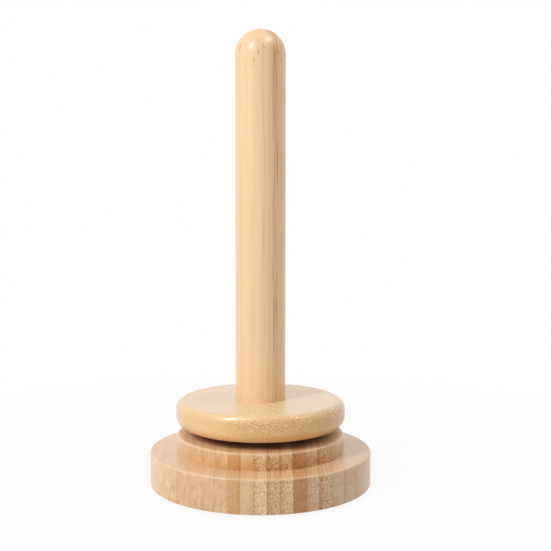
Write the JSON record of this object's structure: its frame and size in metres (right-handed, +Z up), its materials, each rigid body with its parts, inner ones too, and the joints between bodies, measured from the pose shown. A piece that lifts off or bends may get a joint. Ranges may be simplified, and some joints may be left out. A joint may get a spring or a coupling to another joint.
{
  "type": "yarn holder",
  "caption": "Bamboo yarn holder: a domed upright spindle on a rounded platter that spins freely on a ball bearing set in a heavy stepped round base.",
  "frame": {"origin": "centre of the footprint, on the table under the foot pads", "axes": "+Z up along the spindle, and -Y towards the viewer of the picture"},
  "size_m": [0.1, 0.1, 0.204],
  "materials": {
    "base_bamboo": "matte",
    "platter_bamboo": "gloss",
    "spindle_bamboo": "satin",
    "ring_steel": "ground",
    "shield_steel": "satin",
    "cage_steel": "pressed",
    "ball_steel": "polished",
    "fastener_zinc": "zinc plated",
    "insert_brass": "turned",
    "pad_foam": "matte"
  },
  "bodies": {
    "base": {"base_block": "base_bamboo", "bearing_outer_ring": "ring_steel", "bearing_lower_shield": "shield_steel", "bearing_upper_shield": "shield_steel", "foot_pad_1": "pad_foam", "foot_pad_2": "pad_foam", "foot_pad_3": "pad_foam", "foot_pad_4": "pad_foam"},
    "turntable": {"platter": "platter_bamboo", "spindle": "spindle_bamboo", "bearing_inner_ring": "ring_steel", "spacer_bush": "fastener_zinc", "bolt_washer": "fastener_zinc", "pivot_bolt": "fastener_zinc", "threaded_insert": "insert_brass"},
    "cage": {"cage_lower_half": "cage_steel", "cage_upper_half": "cage_steel", "cage_rivets": "cage_steel"},
    "ball_1": {"bearing_ball_1": "ball_steel"},
    "ball_2": {"bearing_ball_2": "ball_steel"},
    "ball_3": {"bearing_ball_3": "ball_steel"},
    "ball_4": {"bearing_ball_4": "ball_steel"},
    "ball_5": {"bearing_ball_5": "ball_steel"},
    "ball_6": {"bearing_ball_6": "ball_steel"},
    "ball_7": {"bearing_ball_7": "ball_steel"}
  },
  "joints": [
    {"name": "turntable_spin", "type": "hinge", "parent": "base", "child": "turntable", "pos_m": [0, 0, 0.02], "axis": [0, 0, 1], "continuous": true},
    {"name": "cage_spin", "type": "hinge", "parent": "base", "child": "cage", "pos_m": [0, 0, 0.02], "axis": [0, 0, 1], "continuous": true},
    {"name": "ball_1_spin", "type": "hinge", "parent": "cage", "child": "ball_1", "pos_m": [0.0075, 0, 0.02], "axis": [0, 0, 1], "continuous": true},
    {"name": "ball_2_spin", "type": "hinge", "parent": "cage", "child": "ball_2", "pos_m": [0.00468, 0.00586, 0.02], "axis": [0, 0, 1], "continuous": true},
    {"name": "ball_3_spin", "type": "hinge", "parent": "cage", "child": "ball_3", "pos_m": [-0.00167, 0.00731, 0.02], "axis": [0, 0, 1], "continuous": true},
    {"name": "ball_4_spin", "type": "hinge", "parent": "cage", "child": "ball_4", "pos_m": [-0.00676, 0.00325, 0.02], "axis": [0, 0, 1], "continuous": true},
    {"name": "ball_5_spin", "type": "hinge", "parent": "cage", "child": "ball_5", "pos_m": [-0.00676, -0.00325, 0.02], "axis": [0, 0, 1], "continuous": true},
    {"name": "ball_6_spin", "type": "hinge", "parent": "cage", "child": "ball_6", "pos_m": [-0.00167, -0.00731, 0.02], "axis": [0, 0, 1], "continuous": true},
    {"name": "ball_7_spin", "type": "hinge", "parent": "cage", "child": "ball_7", "pos_m": [0.00468, -0.00586, 0.02], "axis": [0, 0, 1], "continuous": true}
  ],
  "couplings": [
    {"joint": "cage_spin", "follows": "turntable_spin", "ratio": 0.36767},
    {"joint": "ball_1_spin", "follows": "turntable_spin", "ratio": -1.7568},
    {"joint": "ball_2_spin", "follows": "turntable_spin", "ratio": -1.7568},
    {"joint": "ball_3_spin", "follows": "turntable_spin", "ratio": -1.7568},
    {"joint": "ball_4_spin", "follows": "turntable_spin", "ratio": -1.7568},
    {"joint": "ball_5_spin", "follows": "turntable_spin", "ratio": -1.7568},
    {"joint": "ball_6_spin", "follows": "turntable_spin", "ratio": -1.7568},
    {"joint": "ball_7_spin", "follows": "turntable_spin", "ratio": -1.7568}
  ]
}
